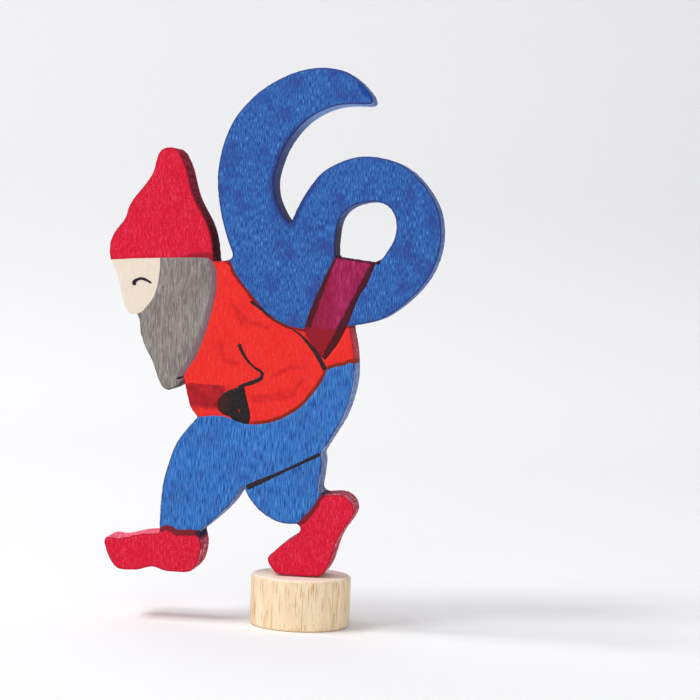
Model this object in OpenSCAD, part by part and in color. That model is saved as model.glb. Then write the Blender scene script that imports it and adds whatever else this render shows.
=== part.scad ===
// A walking gnome with a big numeral on his back, fretsawn from one limewood board and
// stained by hand. He stands on a metal pin in a round beech plug. The board stands in
// the XZ plane: he walks towards -X, his front face looks towards -Y, and the plug's
// underside is at z = 0 with its axis on Z. Millimetres.

/* [Board] */
// Height of the figure, from its rear sole to the top of the numeral
figure_h = 90.5; // [80:0.5:150]
// Thickness of the limewood board
board_t = 8; // [6:0.5:14]
// Gap between the rear sole and the top of the plug
sole_gap = 0.3; // [0.3:0.1:1]

/* [Stain and ink] */
// Thickness of one coat of stain
stain_t = 0.1; // [0.05:0.05:0.2]
// Thickness of an ink line on top of the stain
ink_t = 0.05; // [0.05:0.05:0.1]
// Width of the pen that draws the lines
pen_w = 0.6; // [0.4:0.1:1]

/* [Plug] */
// Diameter of the beech plug
plug_d = 18; // [15:0.5:24]
// Height of the beech plug
plug_h = 9.2; // [8:0.1:20]
// Chamfer on both rims of the plug
plug_chamfer = 0.4; // [0.2:0.1:1]

/* [Pin] */
// Diameter of the metal pin
pin_d = 2.5; // [1.5:0.1:3]
// Length of the pin inside the foot
pin_in_foot = 5; // [3:0.1:5.5]
// Length of the pin inside the plug
pin_in_plug = 6; // [4:0.1:7]
// Chamfer on both ends of the pin
pin_chamfer = 0.3; // [0.1:0.1:0.5]
// Clearance around the pin in both of its holes, on the radius
pin_clearance = 0.04; // [0.02:0.01:0.08]
// How much deeper each hole is drilled than the pin reaches
drill_spare = 0.3; // [0.2:0.1:0.5]

/* [Hidden] */

// The figure is drawn this tall and then brought to figure_h.
drawn_h = 90.5;
figure_scale = figure_h / drawn_h;
// Longest straight step along a curved outline, as drawn.
step = 1.5;
sole_z = plug_h + sole_gap;
bore_d = pin_d + 2 * pin_clearance;
// Masks reach this far past the outline.
far = 60;

// ---- curves -------------------------------------------------------------------------
// A point is [x, y], or [x, y, 1] where the outline turns a sharp corner.

function xy(p) = [p[0], p[1]];
function sharp(p) = len(p) == 3;
function unit(v) = v / max(norm(v), 1e-9);

// Where the curve is heading at point i: along the line between its two neighbours.
function heading(p, i, closed) =
    let (n = len(p),
         before = closed ? (i + n - 1) % n : max(i - 1, 0),
         after = closed ? (i + 1) % n : min(i + 1, n - 1))
    unit(xy(p[after]) - xy(p[before]));

// One span of a Hermite curve from a to b, with its end left off.
function span(a, b, head_a, head_b) =
    let (chord = norm(b - a),
         n = max(1, ceil(chord / step)),
         ta = head_a * chord,
         tb = head_b * chord)
    [for (k = [0 : n - 1])
        let (t = k / n)
        a * (2 * t ^ 3 - 3 * t ^ 2 + 1) + ta * (t ^ 3 - 2 * t ^ 2 + t)
        + b * (3 * t ^ 2 - 2 * t ^ 3) + tb * (t ^ 3 - t ^ 2)];

// A smooth curve through the points, sharp where they say so.
function curve(p, closed = true) =
    let (n = len(p), last = closed ? n - 1 : n - 2)
    [for (i = [0 : last])
        let (j = (i + 1) % n,
             a = xy(p[i]),
             b = xy(p[j]),
             straight = unit(b - a))
        if (sharp(p[i]) && sharp(p[j])) a
        else each span(a, b,
            sharp(p[i]) ? straight : heading(p, i, closed),
            sharp(p[j]) ? straight : heading(p, j, closed)),
     if (!closed) xy(p[n - 1])];

// Brings drawn points to the real size.
function sized(p) = [for (q = p) q * figure_scale];

// A closed outline moved out by d, or in where d is negative, for an outline that runs
// anticlockwise.
function grown(p, d) =
    let (n = len(p))
    [for (i = [0 : n - 1])
        let (u = unit(p[i] - p[(i + n - 1) % n]),
             v = unit(p[(i + 1) % n] - p[i]),
             bisector = unit([u[1] + v[1], -u[0] - v[0]]),
             spread = max(0.5, sqrt((1 + u * v) / 2)))
        p[i] + bisector * d / spread];

// A ribbon of the given half-width along an open curve, with slightly blunted ends.
function ribbon(p, w) =
    let (n = len(p),
         side = [for (i = [0 : n - 1])
             let (h = unit(p[min(i + 1, n - 1)] - p[max(i - 1, 0)]),
                  blunt = (i == 0 || i == n - 1) ? 0.6 : 1)
             [h[1], -h[0]] * w * blunt])
    concat([for (i = [0 : n - 1]) p[i] + side[i]],
           [for (i = [n - 1 : -1 : 0]) p[i] - side[i]]);

// ---- the sawn outline, anticlockwise from the tip of the hat ---------------------------
hat_front = [[-26.3, 75.5], [-27.7, 74.9], [-28.4, 73.2], [-28.9, 71], [-30.4, 68.6],
    [-32.2, 66.3], [-33.2, 64.5], [-33.7, 62.6], [-35.2, 60.6], [-36.2, 58.6],
    [-36.4, 56.5], [-36.1, 55, 1]];
face_front = [[-34.7, 52], [-33.9, 48.8], [-33, 46.3], [-32.4, 45.5, 1], [-30.9, 45.5, 1]];
beard_front = [[-30.4, 44.2], [-30.3, 42.6], [-29.4, 39.9], [-27.9, 37.2], [-26.6, 33.8],
    [-25.8, 32.5], [-24.9, 32], [-23.7, 32.5], [-22.9, 33.2], [-22, 34.3, 1]];
jacket_front = [[-21.7, 33], [-21.2, 31], [-20.7, 29.3], [-20, 28.3], [-19.2, 27.5, 1]];
trousers_front = [[-20.9, 25.6], [-23, 22.5], [-24.4, 18.4], [-25.2, 14.9], [-25.5, 10.8],
    [-25.5, 6.2, 1]];
front_shoe = [[-26.8, 6.1], [-28.9, 5.9], [-31.8, 5.1], [-33.1, 4.9], [-34.4, 5.1],
    [-35.4, 5], [-35.6, 4.2], [-35.2, 2.8], [-34.4, 1], [-33.3, -0.4], [-32.5, -0.7],
    [-29.2, -0.6], [-27.7, -0.1], [-26.6, 0.1], [-25.6, -0.1], [-24.6, -0.5],
    [-23.8, -0.6], [-20.4, -0.6], [-19.6, -0.4], [-18.8, 0.4], [-18.2, 1.6], [-17.9, 3],
    [-17.8, 4.6], [-18.4, 6.7, 1]];
between_legs = [[-16.2, 8.6], [-14.2, 10.5], [-12.5, 12.5], [-11.4, 14.3],
    [-10.6, 15.6, 1], [-9.7, 13.9], [-8.7, 12.5], [-6.7, 10.7], [-4.1, 9.4], [-1.7, 9.1],
    [-0.6, 9.2], [0, 8.8], [0.2, 8.2], [-0.4, 7.3]];
rear_shoe = [[-1.8, 6.3], [-3.3, 5.2], [-4.6, 3.9], [-5.5, 3.1], [-5.7, 2.5], [-5.2, 1.5],
    [-4.5, 0.6], [-3.7, 0, 1], [3.8, 0, 1], [4.6, 0.6], [5.3, 1.8], [5.8, 3.2],
    [6.6, 6.1], [7.3, 7.7], [9, 10.3], [9.6, 11.6], [9.5, 12.8], [8.6, 14.1], [7.5, 14.7],
    [6, 14.8], [4, 14.6]];
trousers_back = [[3.2, 15], [3, 15.8], [3.2, 17], [3.4, 19.3], [3.5, 20.6], [3.2, 21.8],
    [4, 23.3], [5.5, 25.9], [6.9, 28.4], [8, 31.6], [8.7, 35.2], [8.7, 38], [8.4, 41],
    [7.5, 45, 1]];
number_bowl = [[10.2, 45.5], [12.9, 46.3], [15.6, 48], [18.3, 50.4], [20.7, 53.3],
    [22.3, 56.5], [23.1, 59.9], [23.1, 63.1], [22.4, 66.2], [20.8, 69.1], [18.4, 71.9],
    [15.7, 73.8], [13.1, 74.7], [9.8, 75.1], [7.2, 74.8], [4.5, 73.8], [1.6, 72],
    [-0.6, 69.2], [-2.3, 66.2], [-3.8, 62.6, 1]];
number_inside = [[-4.8, 63.6], [-5.8, 65.2], [-6.8, 67.5], [-7.1, 70.5], [-6.6, 72.9],
    [-5.6, 75.8], [-4.2, 78.2], [-2.3, 80.5], [0, 82.3], [2.7, 83.6], [5.4, 84.2],
    [9.9, 84.3, 1]];
number_back = [[10.1, 85], [9.7, 86], [8.9, 87], [7.6, 88.3], [5.8, 89.6], [4, 90.2],
    [1.2, 90.5], [-2, 90.1], [-5.2, 89], [-8.6, 87.1], [-10.9, 85.3], [-12.6, 83.5],
    [-14.1, 81.6], [-15.2, 79.6], [-16.3, 76.6], [-17, 73.2], [-17.2, 70], [-16.8, 66.3],
    [-16.1, 63], [-15, 59.5], [-14.2, 57.5], [-13.9, 56.7], [-14.2, 56], [-15, 55.7]];
hat_back = [[-17.4, 55.4, 1], [-17.6, 57.5], [-17.9, 59.3], [-18.4, 61.1], [-19.2, 62.9],
    [-20.2, 64.6], [-21.2, 66.4], [-21.9, 68.2], [-22.9, 71.8], [-23.7, 73.6],
    [-24.8, 75.2]];

outline = sized(curve(concat(hat_front, face_front, beard_front, jacket_front,
    trousers_front, front_shoe, between_legs, rear_shoe, trousers_back, number_bowl,
    number_inside, number_back, hat_back)));

// The hole inside the bowl of the numeral, also anticlockwise. The strap crosses below it.
strap_top_left = [4.4, 57.1, 1];
strap_top_right = [11.7, 56.3, 1];
eye_of_number = sized(curve([strap_top_left, strap_top_right, [11.9, 56.7, 1],
    [12.8, 57, 1], [14, 58.9], [14.8, 60.4], [15.2, 62.5], [15, 64.2], [14.4, 65.6],
    [13.4, 66.6], [11.1, 67.2], [8.6, 66.8], [6.9, 66.1], [5.8, 65.2], [5, 64],
    [4.6, 62.6], [4.4, 60.8], [4.3, 59]]));

// ---- where one colour ends and the next begins, each from the outline to the outline ----
hat_line = curve([[-38, 54.9, 1], [-36.1, 55, 1], [-33.5, 55.3], [-29, 55.6],
    [-23.5, 55.9], [-18.3, 56], [-17.4, 55.4, 1]], closed = false);
face_line = curve([[-30.9, 45.5, 1], [-30.1, 45.9], [-29.2, 47], [-28.5, 47.9],
    [-27.8, 49.3], [-27.4, 51.2], [-27.1, 53.6], [-27.2, 57, 1]], closed = false);
beard_line = curve([[-22, 34.3, 1], [-21.8, 35.3], [-21.1, 36.5], [-20.1, 38],
    [-19.3, 39.9], [-18.4, 42.6], [-17.7, 45.3], [-17.1, 47.9], [-16.7, 50.6],
    [-16.8, 53.6], [-17.4, 55.4, 1]], closed = false);
hem_line = curve([[-19.2, 27.5, 1], [-17, 27.8], [-15.2, 27.9], [-13.8, 27.7],
    [-12.3, 27.1], [-11, 26.7], [-9.2, 26.6], [-7, 26.9], [-5.2, 27.4], [-3.5, 28.2],
    [-0.8, 30], [1.9, 33.3], [3, 35], [3.8, 37, 1], [5.2, 37.6], [6.8, 37.9],
    [7.8, 38.5], [9.5, 38.3, 1]], closed = false);
number_line = curve([[-15, 55.7, 1], [-14.2, 55.3], [-13.6, 53.9], [-12.4, 52.2],
    [-10.4, 49.9], [-8.7, 48], [-6.6, 46.1], [-5, 45.2], [-3.2, 44.5], [-0.6, 44.1, 1]],
    closed = false);
front_cuff = curve([[-27, 7.5, 1], [-25.4, 7.5], [-24.2, 7.8], [-23.1, 7.5],
    [-22.2, 7], [-20, 7.2], [-18.2, 7, 1]], closed = false);
rear_cuff = curve([[-0.8, 9.1, 1], [0.8, 10.8], [2, 12.2], [2.8, 13.6], [3.3, 14.6],
    [4.5, 15.5, 1]], closed = false);
strap_right = curve([strap_top_right, [10.9, 54], [10.2, 52.2], [9.3, 50.9], [8.5, 49],
    [7.9, 47.2], [7.3, 45.5], [6.3, 43.2], [5.4, 41.5], [4.4, 40.1], [3.4, 38.7, 1]],
    closed = false);
strap_left = curve([[3.4, 38.7, 1], [2.3, 39.6], [0.9, 41.4], [-0.2, 43],
    [-0.6, 44.1, 1], [-0.3, 45.2], [0.2, 47], [0.9, 48.9], [1.9, 51.4], [2.9, 53.9],
    strap_top_left], closed = false);
mitten_edge = curve([[-12.3, 33.1], [-13.7, 32.6], [-14.8, 31.9], [-15.6, 30.9],
    [-15.8, 29.9], [-15.5, 28.9], [-14.7, 28.2], [-13.4, 27.8], [-12.7, 27.1, 1],
    [-10.1, 26.4, 1], [-9.7, 27.9], [-10.2, 30.1], [-10.7, 32], [-11, 33.3, 1]]);

// ---- pen strokes, along their middles ----------------------------------------------------
eye_stroke = curve([[-31.5, 50.6], [-31.8, 51.2], [-31.1, 51.7], [-30.4, 51.9],
    [-29.6, 51.7], [-28.5, 51.1]], closed = false);
sleeve_stroke = curve([[-12.3, 41], [-11.5, 39.3], [-10.4, 37.8], [-9.1, 36.7],
    [-7.8, 35.9], [-8, 35], [-9.4, 34.2], [-10.8, 33.7], [-12.2, 33.2]], closed = false);
back_stroke = curve([[-10.5, 48.7], [-8.3, 47.2], [-5.9, 45.4], [-1.9, 43.5],
    [0.6, 41.2], [2.5, 38.7], [3.4, 36.9]], closed = false);
leg_stroke = curve([[-10, 15.2], [-3.8, 18.3], [3.1, 21.9]], closed = false);

// ---- building blocks -----------------------------------------------------------------------
// Stands a flat shape up as a board of the given thickness, centred on the XZ plane.
module stand(thickness) {
    translate([0, thickness / 2, sole_z])
        rotate([90, 0, 0])
            linear_extrude(thickness)
                children();
}

module pin_bore(from_z, to_z) {
    translate([0, 0, from_z])
        cylinder(d = bore_d, h = to_z - from_z, $fn = 48);
}

module sawn_shape(growth = 0) {
    difference() {
        polygon(grown(outline, growth));
        polygon(grown(eye_of_number, -growth));
    }
}

// One coat of stain: it wraps the faces and the sawn edges of its own part of the board.
module stain() {
    difference() {
        stand(board_t + 2 * stain_t)
            intersection() {
                sawn_shape(stain_t);
                children();
            }
        stand(board_t)
            sawn_shape();
    }
}

// The same pen stroke on both faces, on top of layers that are under_t thick.
module ink(stroke, w, under_t) {
    for (side = [-1, 1])
        translate([0, side * (board_t + 2 * under_t + ink_t) / 2, 0])
            stand(ink_t)
                polygon(ribbon(sized(stroke), w / 2));
}

// ---- which part of the drawing takes which colour -------------------------------------------
module zone(points) {
    polygon(sized(points));
}

module above_hat_line() {
    zone(concat(hat_line, [[-16.8, 57.5], [-17.4, 61], [-19, 66], [-20.5, 72], [-22, 80],
        [-38, 80]]));
}

module face_zone() {
    difference() {
        zone(concat(face_line, [[-38, 57], [-38, 45], [-32.4, 45], [-31, 45]]));
        above_hat_line();
    }
}

module left_of_beard_line() {
    zone(concat(beard_line, [[-17.4, 57], [-38, 57], [-38, 30], [-22, 30]]));
}

module beard_zone() {
    difference() {
        left_of_beard_line();
        above_hat_line();
        face_zone();
    }
}

module front_shoe_zone() {
    zone(concat(front_cuff, [[-17.2, 5.5], [-17.2, -far], [-far, -far], [-far, 7.5]]));
}

module rear_shoe_zone() {
    zone(concat(rear_cuff, [[far, 15.5], [far, -far], [-8, -far], [-8, 8.5]]));
}

module below_hem_line() {
    zone(concat(hem_line, [[far, 38.3], [far, -far], [-far, -far], [-far, 27.5]]));
}

module trousers_zone() {
    difference() {
        below_hem_line();
        front_shoe_zone();
        rear_shoe_zone();
    }
}

module strap_zone() {
    zone(concat(strap_right, strap_left, [[4.5, 58], [11.6, 58]]));
}

module number_zone() {
    difference() {
        zone(concat(number_line, [[7.3, 45.1], [far, 40], [far, far * 2], [-21, far * 2],
            [-21, 80], [-19.5, 72], [-18, 66], [-16.9, 61], [-16.2, 57.5]]));
        strap_zone();
    }
}

module mitten_zone() {
    difference() {
        zone(mitten_edge);
        below_hem_line();
    }
}

module jacket_zone() {
    difference() {
        zone([[-23, 25], [9.6, 25], [9.6, 45], [-14, 57], [-23, 57]]);
        below_hem_line();
        above_hat_line();
        left_of_beard_line();
        number_zone();
        strap_zone();
        mitten_zone();
    }
}

// ---- the pieces --------------------------------------------------------------------------------
// Limewood, bare on the face and everywhere under the stain.
module figure_board() {
    color("#f0e2cf")
        difference() {
            stand(board_t)
                sawn_shape();
            pin_bore(sole_z - 1, sole_z + pin_in_foot - sole_gap + drill_spare);
        }
}

module hat_stain() {
    color("#d8213d")
        stain()
            above_hat_line();
}

module beard_stain() {
    color("#8c8580")
        stain()
            beard_zone();
}

module jacket_stain() {
    color("#ee3a30")
        stain()
            jacket_zone();
}

module mitten_stain() {
    color("#2b2522")
        stain()
            mitten_zone();
}

module trousers_stain() {
    color("#2f68b4")
        stain()
            trousers_zone();
}

module front_shoe_stain() {
    color("#dc2440")
        stain()
            front_shoe_zone();
}

// The pin passes through the coat under the rear sole.
module rear_shoe_stain() {
    color("#dc2440")
        difference() {
            stain()
                rear_shoe_zone();
            pin_bore(sole_z - 1, sole_z + 1);
        }
}

module number_stain() {
    color("#2f62b0")
        stain()
            number_zone();
}

module strap_stain() {
    color("#a62a5e")
        stain()
            strap_zone();
}

module eye_ink() {
    color("#1e1416")
        ink(eye_stroke, pen_w, 0);
}

module sleeve_ink() {
    color("#1e1416")
        ink(sleeve_stroke, pen_w, stain_t);
}

module back_seam_ink() {
    color("#1e1416")
        ink(back_stroke, pen_w, stain_t);
}

module leg_seam_ink() {
    color("#1e1416")
        ink(leg_stroke, pen_w, stain_t);
}

// Steel, a sliding fit in both holes.
module pin() {
    length = pin_in_plug + pin_in_foot;
    r = pin_d / 2;
    color("#b9bcc0")
        translate([0, 0, plug_h - pin_in_plug])
            rotate_extrude($fn = 48)
                polygon([[0, 0], [r - pin_chamfer, 0], [r, pin_chamfer],
                    [r, length - pin_chamfer], [r - pin_chamfer, length], [0, length]]);
}

// Beech, turned, with a blind hole for the pin.
module plug() {
    r = plug_d / 2;
    color("#e8cda4")
        difference() {
            rotate_extrude($fn = 96)
                polygon([[0, 0], [r - plug_chamfer, 0], [r, plug_chamfer],
                    [r, plug_h - plug_chamfer], [r - plug_chamfer, plug_h], [0, plug_h]]);
            pin_bore(plug_h - pin_in_plug - drill_spare, plug_h + 1);
        }
}

figure_board();
hat_stain();
beard_stain();
jacket_stain();
mitten_stain();
trousers_stain();
front_shoe_stain();
rear_shoe_stain();
number_stain();
strap_stain();
eye_ink();
sleeve_ink();
back_seam_ink();
leg_seam_ink();
pin();
plug();
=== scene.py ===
import math

import bpy
import numpy as np
from mathutils import Matrix, Vector
from mathutils.geometry import delaunay_2d_cdt


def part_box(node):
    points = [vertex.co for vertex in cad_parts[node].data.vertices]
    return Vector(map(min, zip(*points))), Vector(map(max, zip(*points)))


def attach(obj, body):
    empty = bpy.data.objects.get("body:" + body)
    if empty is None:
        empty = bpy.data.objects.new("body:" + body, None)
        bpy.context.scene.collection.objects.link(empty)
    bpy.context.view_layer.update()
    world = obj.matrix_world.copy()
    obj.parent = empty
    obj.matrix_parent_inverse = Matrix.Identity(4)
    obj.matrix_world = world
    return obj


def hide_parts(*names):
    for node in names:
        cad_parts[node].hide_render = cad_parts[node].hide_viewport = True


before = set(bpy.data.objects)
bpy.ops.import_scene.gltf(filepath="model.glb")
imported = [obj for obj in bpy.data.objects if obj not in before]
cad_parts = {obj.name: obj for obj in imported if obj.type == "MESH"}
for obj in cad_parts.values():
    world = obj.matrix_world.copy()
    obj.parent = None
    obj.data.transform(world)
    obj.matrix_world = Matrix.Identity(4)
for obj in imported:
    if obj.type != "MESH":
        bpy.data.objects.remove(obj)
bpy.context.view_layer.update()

# ---- The camera ---------------------------------------------------------------------------
# A long lens a little above the gnome's middle and a little to its right, tipped slightly,
# so the board's right-hand sawn edges and the tops of the shoes show.
MM = 0.001
VIEW_AZIMUTH = math.radians(6.86)
VIEW_ELEVATION = math.radians(2.79)
VIEW_ROLL = math.radians(-2.24)
VIEW_AIM = Vector((7.27, 0, 50.03)) * MM
VIEW_DISTANCE = 430.5 * MM
LENS = 123.43


def view_matrix(azimuth, elevation, roll, aim, distance):
    """A camera that stands `distance` from `aim`, turned `azimuth` to the right of -Y and `elevation`
    above the horizon, then rolled about its own line of sight."""
    ahead = Vector((-math.sin(azimuth) * math.cos(elevation), math.cos(azimuth) * math.cos(elevation),
                    -math.sin(elevation)))
    level = ahead.cross(Vector((0, 0, 1))).normalized()
    upright = level.cross(ahead)
    right = level * math.cos(roll) - upright * math.sin(roll)
    up = upright * math.cos(roll) + level * math.sin(roll)
    turn = Matrix((right, up, -ahead)).transposed().to_4x4()
    return Matrix.Translation(aim - ahead * distance) @ turn


camera = bpy.data.objects.new("camera", bpy.data.cameras.new("camera"))
bpy.context.scene.collection.objects.link(camera)
camera.data.sensor_width = 36
camera.data.lens = LENS
camera.data.clip_start = 10 * MM
camera.data.clip_end = 20
camera.matrix_world = view_matrix(VIEW_AZIMUTH, VIEW_ELEVATION, VIEW_ROLL, VIEW_AIM, VIEW_DISTANCE)
bpy.context.scene.camera = camera
bpy.context.scene.view_settings.view_transform = "Standard"

# ---- The board ----------------------------------------------------------------------------
# One piece of limewood, 8 mm thick, fretsawn to the gnome's outline and sanded round at its
# edges. It is bare on the face and carries the stains everywhere else. Plane shapes are
# arrays of (x, z) in millimetres, and each mesh is brought to metres as it is made.
SANDED = 0.28
OUTLINE_STEP = 0.36
FLAT_STEP = 0.55
ROW_STEP = 0.87 * FLAT_STEP
CLEAR_OF_EDGES = 0.55 * FLAT_STEP
CLEAR_OF_RIM = 0.12
SAW_WOBBLE = 0.035
WALL_ROWS = 7
QUARTER_ROWS = 5


def cad_triangles(node):
    """The corners, in millimetres, and the triangles of a CAD node."""
    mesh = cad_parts[node].data
    mesh.calc_loop_triangles()
    corners = np.empty(len(mesh.vertices) * 3)
    mesh.vertices.foreach_get("co", corners)
    triangles = np.empty(len(mesh.loop_triangles) * 3, int)
    mesh.loop_triangles.foreach_get("vertices", triangles)
    return corners.reshape(-1, 3) / MM, triangles.reshape(-1, 3)


def open_edges(triangles):
    """The directed edges that only one triangle has, which is the patch's rim in the triangles' own sense."""
    edges = np.concatenate([triangles[:, [0, 1]], triangles[:, [1, 2]], triangles[:, [2, 0]]])
    base = int(edges.max()) + 1
    forward = edges[:, 0] * base + edges[:, 1]
    backward = edges[:, 1] * base + edges[:, 0]
    return edges[~np.isin(forward, backward)]


def front_loops(node):
    """The closed outlines of a CAD node's flat front, outer ones anticlockwise and holes clockwise."""
    corners, triangles = cad_triangles(node)
    nearest = corners[:, 1].min()
    front = triangles[(np.abs(corners[triangles][:, :, 1] - nearest) < 1e-3).all(axis=1)]
    plane, merged = np.unique(np.round(corners[:, [0, 2]], 3), axis=0, return_inverse=True)
    rim = open_edges(merged.ravel()[front])
    follows = {}
    for start, end in rim.tolist():
        follows.setdefault(start, []).append(end)
    loops = []
    while follows:
        here = next(iter(follows))
        loop = []
        while here in follows:
            loop.append(here)
            nexts = follows[here]
            following = nexts.pop()
            if not nexts:
                del follows[here]
            here = following
        loops.append(plane[loop])
    return loops


def lengths(vectors):
    """The length of each plane vector, never quite 0."""
    return np.maximum(np.hypot(vectors[..., 0], vectors[..., 1]), 1e-9)


def smooth_loop(loop, step, corner=50):
    """A closed cubic through the loop's points at about `step` apart. At each point it heads along the line
    between the two neighbours, except at a corner of more than `corner` degrees, where it runs straight in.
    Two passes of a three-point average then soften the corners as sandpaper does."""
    ahead = np.roll(loop, -1, axis=0) - loop
    behind = np.roll(ahead, 1, axis=0)
    chord = lengths(ahead)
    turn = np.degrees(np.arccos(np.clip((ahead * behind).sum(1) / (chord * lengths(behind)), -1, 1)))
    heading = (ahead + behind) / lengths(ahead + behind)[:, None]
    sharp = (turn > corner)[:, None]
    straight = ahead / chord[:, None]
    leave = np.where(sharp, straight, heading)
    arrive = np.where(np.roll(sharp, -1, axis=0), straight, np.roll(heading, -1, axis=0))
    counts = np.maximum(1, np.round(chord / step)).astype(int)
    which = np.repeat(np.arange(len(loop)), counts)
    first = np.repeat(np.cumsum(counts) - counts, counts)
    t = ((np.arange(len(which)) - first) / counts[which])[:, None]
    size = chord[which][:, None]
    following = np.roll(loop, -1, axis=0)
    points = (loop[which] * (2 * t**3 - 3 * t**2 + 1) + leave[which] * size * (t**3 - 2 * t**2 + t)
              + following[which] * (3 * t**2 - 2 * t**3) + arrive[which] * size * (t**3 - t**2))
    for _ in range(2):
        points = (np.roll(points, 1, axis=0) + 2 * points + np.roll(points, -1, axis=0)) / 4
    return points


def outward(loop):
    """The unit direction out of the solid at each point of a loop, at right angles to its two neighbours."""
    along = np.roll(loop, -1, axis=0) - np.roll(loop, 1, axis=0)
    return np.stack([along[:, 1], -along[:, 0]], axis=1) / lengths(along)[:, None]


def inside(points, loops):
    """True where a ray to the right of the point crosses the loops an odd number of times."""
    odd = np.zeros(len(points), bool)
    for loop in loops:
        start, end = loop, np.roll(loop, -1, axis=0)
        for part in np.array_split(np.arange(len(points)), max(1, len(points) // 4000)):
            x, y = points[part, 0][:, None], points[part, 1][:, None]
            spans = (start[:, 1] > y) != (end[:, 1] > y)
            rise = np.where(spans, end[:, 1] - start[:, 1], 1)
            crossing = start[:, 0] + (y - start[:, 1]) * (end[:, 0] - start[:, 0]) / rise
            odd[part] ^= ((spans & (x < crossing)).sum(axis=1) % 2).astype(bool)
    return odd


def distance_to(points, starts, ends):
    """How far each point is from the nearest of the straight pieces that run from starts to ends."""
    nearest = np.full(len(points), 99.0)
    run = ends - starts
    squared = np.maximum((run**2).sum(1), 1e-12)
    for part in np.array_split(np.arange(len(points)), max(1, len(points) // 1500)):
        offset = points[part][:, None, :] - starts[None]
        t = np.clip((offset * run).sum(2) / squared, 0, 1)
        nearest[part] = np.sqrt(((offset - t[..., None] * run) ** 2).sum(2)).min(axis=1)
    return nearest


def distance_to_loops(points, loops):
    """How far each point is from the nearest of the closed loops."""
    starts = np.concatenate(loops)
    ends = np.concatenate([np.roll(loop, -1, axis=0) for loop in loops])
    return distance_to(points, starts, ends)


BOARD_LOW, BOARD_HIGH = (np.array(corner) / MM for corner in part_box("figure_board"))
HALF_BOARD = (BOARD_HIGH[1] - BOARD_LOW[1]) / 2
STAINS = [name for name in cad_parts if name.endswith("_stain")]
zones = {name: front_loops(name) for name in STAINS}


def saw_wander(loop):
    """How far the saw strayed from the line at each point: a quick wave with a wandering phase, whose height
    swells and dies away over a longer stretch."""
    point = np.arange(len(loop))
    quick = np.sin(point * 2.1 + 3 * np.sin(point * 0.37))
    swell = 0.5 + 0.5 * np.sin(point * 0.113)
    return SAW_WOBBLE * quick * swell


sawn = [smooth_loop(loop, OUTLINE_STEP) for loop in front_loops("figure_board")]
sawn = [loop + outward(loop) * saw_wander(loop)[:, None] for loop in sawn]
flat_rims = [loop - outward(loop) * SANDED for loop in sawn]


def paint_lines():
    """The stains' outlines where they cross the flat, each as a chain of points whose ends are brought to
    the nearest point of the flat's rim, so that flat and sawn edge change colour at the same place."""
    rim = np.concatenate(flat_rims)
    chains = []
    for loops in zones.values():
        for loop in loops:
            within = inside(loop, flat_rims) & (distance_to_loops(loop, flat_rims) > CLEAR_OF_RIM)
            if within.all():
                chains.append(np.concatenate([loop, loop[:1]]))
                continue
            begin = int(np.argmin(within))
            loop, within = np.roll(loop, -begin, axis=0), np.roll(within, -begin)
            changes = np.flatnonzero(np.diff(np.concatenate([[0], within.astype(int), [0]])))
            for first, last in changes.reshape(-1, 2):
                middle = loop[first:last]
                ends = []
                for outer, inner in ((loop[first - 1], middle[0]), (loop[last % len(loop)], middle[-1])):
                    t = np.linspace(0, 1, 200)[:, None]
                    walk = inner * (1 - t) + outer * t
                    leaves = walk[np.argmin(np.where(inside(walk, flat_rims), 1, 0))]
                    ends.append(rim[np.argmin(lengths(rim - leaves))])
                chains.append(np.concatenate([[ends[0]], middle, [ends[1]]]))
    return chains


def flat_mesh():
    """The flat of the board as triangles: the rim and the paint lines are kept as edges, and the space
    between is filled from a grid of points in staggered rows."""
    rows = np.arange(BOARD_LOW[2], BOARD_HIGH[2], ROW_STEP)
    columns = np.arange(BOARD_LOW[0], BOARD_HIGH[0], FLAT_STEP)
    grid_x, grid_z = np.meshgrid(columns, rows)
    grid_x[1::2] += FLAT_STEP / 2
    grid = np.stack([grid_x.ravel(), grid_z.ravel()], axis=1)
    fixed, edges = [], []
    count = 0
    for loop in flat_rims:
        fixed.append(loop)
        index = np.arange(len(loop)) + count
        edges.append(np.stack([index, np.roll(index, -1)], axis=1))
        count += len(loop)
    rim_count = count
    for chain in paint_lines():
        fixed.append(chain)
        index = np.arange(len(chain)) + count
        edges.append(np.stack([index[:-1], index[1:]], axis=1))
        count += len(chain)
    fixed, edges = np.concatenate(fixed), np.concatenate(edges)
    room = distance_to(grid, fixed[edges[:, 0]], fixed[edges[:, 1]]) > CLEAR_OF_EDGES
    grid = grid[room & inside(grid, flat_rims)]
    points = np.concatenate([fixed, grid])
    made = delaunay_2d_cdt([Vector(p) for p in points.tolist()], edges.tolist(), [], 0, 1e-4)
    plane = np.array([tuple(p) for p in made[0]])
    triangles = np.array([face for face in made[2] if len(face) == 3])
    middles = plane[triangles].mean(axis=1)
    triangles = triangles[inside(middles, flat_rims)]
    rim_of = np.full(rim_count, -1)
    for new, old in enumerate(made[3]):
        for source in old:
            if source < rim_count:
                rim_of[source] = new
    return plane, triangles, rim_of


plane, flat_triangles, rim_of = flat_mesh()
flat_middles = plane[flat_triangles].mean(axis=1)
flat_zone = np.full(len(flat_triangles), -1)
for number, name in enumerate(STAINS):
    flat_zone[inside(flat_middles, zones[name])] = number


def rim_zones():
    """The zone of each stretch of the rim, taken from the flat triangle that stands on it."""
    base = len(plane)
    owner = {}
    for tri, zone in zip(flat_triangles.tolist(), flat_zone.tolist()):
        for a, b in ((tri[0], tri[1]), (tri[1], tri[2]), (tri[2], tri[0])):
            owner[a * base + b] = zone
    found, start = [], 0
    for loop in flat_rims:
        index = rim_of[start:start + len(loop)]
        keys = index * base + np.roll(index, -1)
        back = np.roll(index, -1) * base + index
        found.append(np.array([owner.get(k, owner.get(b, -1)) for k, b in zip(keys.tolist(), back.tolist())]))
        start += len(loop)
    return found


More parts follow.
